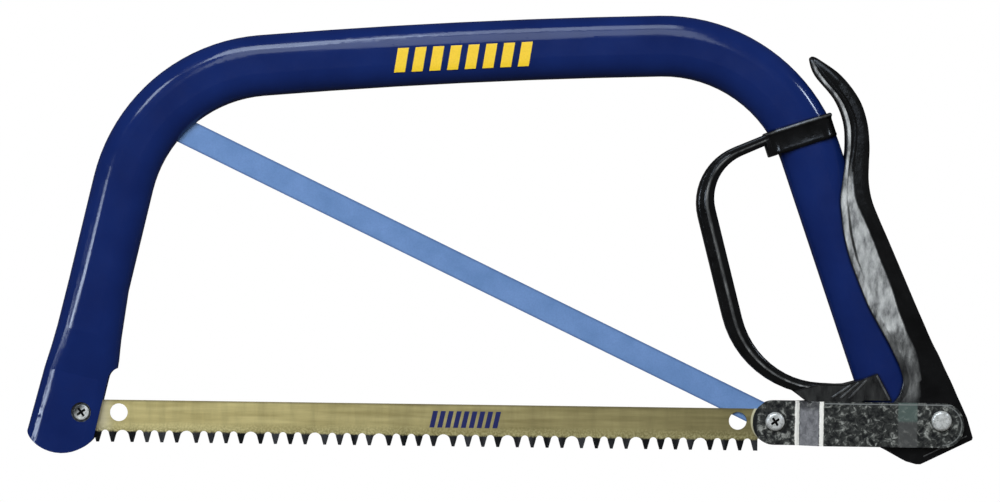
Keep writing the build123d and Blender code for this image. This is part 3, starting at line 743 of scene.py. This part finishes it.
def add_bow(bm):
    """The finger bow, ribbed along the middle of its two sides; the rib carries a painted highlight."""
    rings = []
    for outside, inside in zip(rounded_path(BOW_OUTSIDE, BOW_STEPS), rounded_path(BOW_INSIDE, BOW_STEPS)):
        side = [outside.lerp(inside, share) for share, _ in BOW_SIDE]
        near = [at(p.x, p.y, -half) for p, (_, half) in zip(side, BOW_SIDE)]
        far = [at(p.x, p.y, half) for p, (_, half) in zip(side, BOW_SIDE)][1:-1]
        rings.append(near + far[::-1])
    # A painted highlight along the rib's crest
    rib = [0.5 if 0.5 < share < 0.6 else 0.0 for share, _ in BOW_SIDE]
    skin(bm, rings, [rib + rib[1:-1][::-1]] * len(rings))


def add_collar(bm):
    """The collar round the tube; its rolled rim carries a painted highlight where it stands out most."""
    rings = []
    painted_sheens = []
    for up, grow in COLLAR_PROFILE:
        corner = COLLAR_CORNER + 0.5 * grow
        ring = rounded_box(COLLAR_LENGTH + 2 * grow, COLLAR_DEPTH + 2 * grow, corner, 6)
        rings.append([collar_point(along, up, y) for along, y in ring])
        painted_sheens.append([0.5 if grow == 0.0 else 0.0] * len(ring))
    skin(bm, rings, painted_sheens)


def add_upstand(bm):
    """The small upstand where the bow meets the collar."""
    rings = []
    for along, low, high, half in UPSTAND:
        corners = ((low, -half), (high, -half), (high, half), (low, half))
        rings.append([collar_point(along, up, y) for up, y in corners])
    skin(bm, rings)


def add_saddle(bm):
    """The saddle over the tube's lower end, with three raised lines and a raised back edge."""
    middle = Vector((330.0, 14.0))
    rings = []
    for y, inset in SADDLE_LAYERS:
        ring = []
        for x, z in SADDLE:
            toward = (middle - Vector((x, z))).normalized() * inset
            ring.append(at(x + toward.x, z + toward.y, y))
        rings.append(ring)
    # A faint painted sheen over the whole saddle; its raised lines below carry a stronger painted highlight
    skin(bm, rings, [[0.14] * len(SADDLE)] * len(rings))
    for share in (0.16, 0.42, 0.68):
        low = Vector((322.0, 11.0)).lerp(Vector((336.0, 10.4)), share)
        high = Vector((330.0, 15.6)).lerp(Vector((343.2, 20.0)), share)
        add_strip(bm, low, high, 0.4, 8.6, 9.5, 0.3)
    add_strip(bm, (343.3, 20.6), (348.9, 10.2), 0.35, 8.8, 9.5, 0.5)


def make_guard():
    """The knuckle guard: a ribbed bow, a collar round the tube and a saddle over its lower end."""
    bm = bmesh.new()
    add_bow(bm)
    add_collar(bm)
    add_upstand(bm)
    add_saddle(bm)
    guard = make_object("guard_moulding", bm, FINISHES["black_plastic"], 38)
    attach(guard, "frame")
    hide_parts("knuckle_guard")


# ---------------------------------------------------------------- generic marks

BAR_SHARE = 0.62           # a bar's share of its pitch
BAR_SLANT = 0.22           # how far a bar leans to the right for each millimetre up
TOP_BAR = (Vector((75.63, 151.0)), Vector((248.33, 161.77)))     # the ends of its centre line
TOP_MARK_AT = Vector((163.6, 158.9))
TOP_MARK_OFF_CENTRE = 2.5        # how far the mark sits above that line
BLADE_MARK_AT = Vector((166.0, -1.1))
BLADE_MARK_FACES = (-1.02, 0.02)       # just off the blade's two faces


def slanted_bars(count, length, height):
    """The left and right edge, at mid height, of each of a row of equal slanted bars centred on zero."""
    pitch = (length - height * BAR_SLANT) / (count - 1 + BAR_SHARE)
    for k in range(count):
        left = -length / 2 + height * BAR_SLANT / 2 + k * pitch
        yield left, left + pitch * BAR_SHARE


def make_bar_mark():
    """A plain row of slanted yellow bars, printed on both sides of the top bar and following its curve."""
    bm = bmesh.new()
    start, end = TOP_BAR
    run = (end - start).normalized()
    normal = Vector((-run.y, run.x))
    height = 17.0
    rungs = 13
    for side in (-1, 1):
        for edges in slanted_bars(8, 62.0, height):
            rows = []
            for k in range(rungs):
                up = height * (k / (rungs - 1) - 0.5)
                y = side * (oval_half(up + TOP_MARK_OFF_CENTRE) + 0.04)
                points = [TOP_MARK_AT + run * (along + up * BAR_SLANT) + normal * up for along in edges]
                rows.append([bm.verts.new(at(point.x, point.y, y)) for point in points])
            for row, following in zip(rows, rows[1:]):
                bm.faces.new((row[0], row[1], following[1], following[0]))
    mark = make_object("top_bar_mark", bm, mark_paint("mark_yellow", srgb(252, 208, 40)))
    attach(mark, "frame")


def make_blade_mark():
    """A small row of slanted navy bars on both sides of the wood blade."""
    bm = bmesh.new()
    height = 7.2
    for y in BLADE_MARK_FACES:
        for left, right in slanted_bars(9, 31.0, height):
            corners = []
            for along, up in ((left, -0.5), (right, -0.5), (right, 0.5), (left, 0.5)):
                rise = up * height
                corners.append(at(BLADE_MARK_AT.x + along + rise * BAR_SLANT, BLADE_MARK_AT.y + rise, y))
            bm.faces.new([bm.verts.new(corner) for corner in corners])
    mark = make_object("blade_mark", bm, mark_paint("mark_navy", srgb(30, 36, 92)))
    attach(mark, "wood_blade")


# ---------------------------------------------------------------- camera, floor and light

VIEW_CENTRE = at(180.05, 72.1)
VIEW_WIDTH = 433.1 * MM    # what the picture's width takes in, at the saw's plane
CAMERA_DISTANCE = 2.2      # metres
CAMERA_ROLL = math.radians(-0.795)
SENSOR = 36.0
FLOOR_X = (-1.2, 1.2)      # metres
FLOOR_Y = (-0.9, 0.7)
GLOSSY_TINT = (0.80, 0.93, 1.10)

# Boxes that show in the glossy tube. All angles are in degrees and sizes in metres:
# name, angle from the camera's side, turn round that axis, distance, size, brightness, roll
HIGHLIGHTS = (
    ("box_high_left", 44, 109, 1.5, (0.40, 0.42), 6.5, 0),
    ("box_high", 48, 89, 1.5, (0.36, 0.42), 3.9, 0),
    ("box_top", 26.5, 95, 1.5, (0.66, 0.58), 2.2, 0),
    ("box_left", 39.5, 173.4, 1.6, (0.36, 0.05), 15.0, 0),
    ("box_left_middle", 38.5, 170.7, 1.6, (0.24, 0.05), 6.5, 0),
    ("box_left_upper", 39, 168.2, 1.6, (0.22, 0.05), 4.0, 0),
    ("box_corner", 45, 140, 1.5, (0.20, 0.26), 8.0, 0),
    ("box_foot", 48.5, 176.0, 1.57, (0.70, 0.058), 13.0, -13),
    ("box_right", 66, 34, 1.5, (0.14, 0.22), 20.0, 0),
)
# Wide boxes that only light the surfaces, with the same columns
FILLS = (
    ("fill", 22, 100, 2.0, (1.6, 1.6), 3.25, 0),
    ("fill_back", 150, 80, 2.0, (1.6, 1.6), 2.4, 0),
    ("fill_front_end", 105, 180, 2.0, (1.4, 1.4), 2.0, 0),
    ("fill_handle_end", 105, 0, 2.0, (1.4, 1.4), 2.0, 0),
)


def make_camera():
    """A long lens square on to the saw's side, rolled so that the blade falls a little to the right."""
    data = bpy.data.cameras.new("camera")
    data.sensor_width = SENSOR
    data.lens = SENSOR * CAMERA_DISTANCE / VIEW_WIDTH
    camera = bpy.data.objects.new("camera", data)
    bpy.context.scene.collection.objects.link(camera)
    camera.location = VIEW_CENTRE + Vector((0, -CAMERA_DISTANCE, 0))
    camera.rotation_mode = "XYZ"
    camera.rotation_euler = (math.radians(90), CAMERA_ROLL, 0)
    bpy.context.scene.camera = camera


def soft_box(name, polar, turn, distance, size, brightness, roll):
    """A soft box that faces the saw, placed by one row of the tables above."""
    polar, turn = math.radians(polar), math.radians(turn)
    direction = Vector((math.sin(polar) * math.cos(turn), -math.cos(polar), math.sin(polar) * math.sin(turn)))
    data = bpy.data.lights.new(name, "AREA")
    data.shape = "RECTANGLE"
    data.size, data.size_y = size
    data.energy = brightness * math.pi * size[0] * size[1]
    light = bpy.data.objects.new(name, data)
    bpy.context.scene.collection.objects.link(light)
    light.location = VIEW_CENTRE + direction * distance
    facing = (-direction).to_track_quat("-Z", "Y") @ Quaternion((0, 0, 1), math.radians(roll))
    light.rotation_euler = facing.to_euler()
    return light


def make_floor():
    """A pale floor, low enough for the opened saw to clear it and kept out of its reflections."""
    (left, right), (near, far) = FLOOR_X, FLOOR_Y
    corners = [(x, y, FLOOR_Z) for x, y in ((left, near), (right, near), (right, far), (left, far))]
    mesh = bpy.data.meshes.new("floor")
    mesh.from_pydata(corners, [], [(0, 1, 2, 3)])
    floor = bpy.data.objects.new("floor", mesh)
    bpy.context.scene.collection.objects.link(floor)
    pale = Finish("floor_pale")
    pale.shader.inputs["Base Color"].default_value = (0.9, 0.9, 0.9, 1)
    pale.shader.inputs["Roughness"].default_value = 0.9
    pale.shader.inputs["Emission Color"].default_value = (1, 1, 1, 1)
    pale.shader.inputs["Emission Strength"].default_value = 0.8
    floor.data.materials.append(pale.material)
    floor.visible_glossy = False
    floor.visible_diffuse = False


def make_world():
    """A white background that lights the saw only faintly."""
    world = bpy.data.worlds.new("studio")
    bpy.context.scene.world = world
    world.use_nodes = True
    nodes, links = world.node_tree.nodes, world.node_tree.links
    nodes.clear()
    backgrounds = []
    for strength in (0.05, 1.0):
        background = nodes.new("ShaderNodeBackground")
        background.inputs["Color"].default_value = (1, 1, 1, 1)
        background.inputs["Strength"].default_value = strength
        backgrounds.append(background)
    path = nodes.new("ShaderNodeLightPath")
    mix = nodes.new("ShaderNodeMixShader")
    out = nodes.new("ShaderNodeOutputWorld")
    links.new(path.outputs["Is Camera Ray"], mix.inputs["Fac"])
    links.new(backgrounds[0].outputs[0], mix.inputs[1])
    links.new(backgrounds[1].outputs[0], mix.inputs[2])
    links.new(mix.outputs[0], out.inputs["Surface"])


def make_studio():
    """A pale floor under a white surround, and the soft boxes round the saw."""
    make_floor()
    make_world()
    for row in HIGHLIGHTS:
        soft_box(*row).data.color = GLOSSY_TINT
    for row in FILLS:
        soft_box(*row).visible_glossy = False
    bpy.context.scene.view_settings.view_transform = "Standard"


make_camera()
make_studio()
finish_cad_nodes()
make_lever()
make_guard()
make_bar_mark()
make_blade_mark()
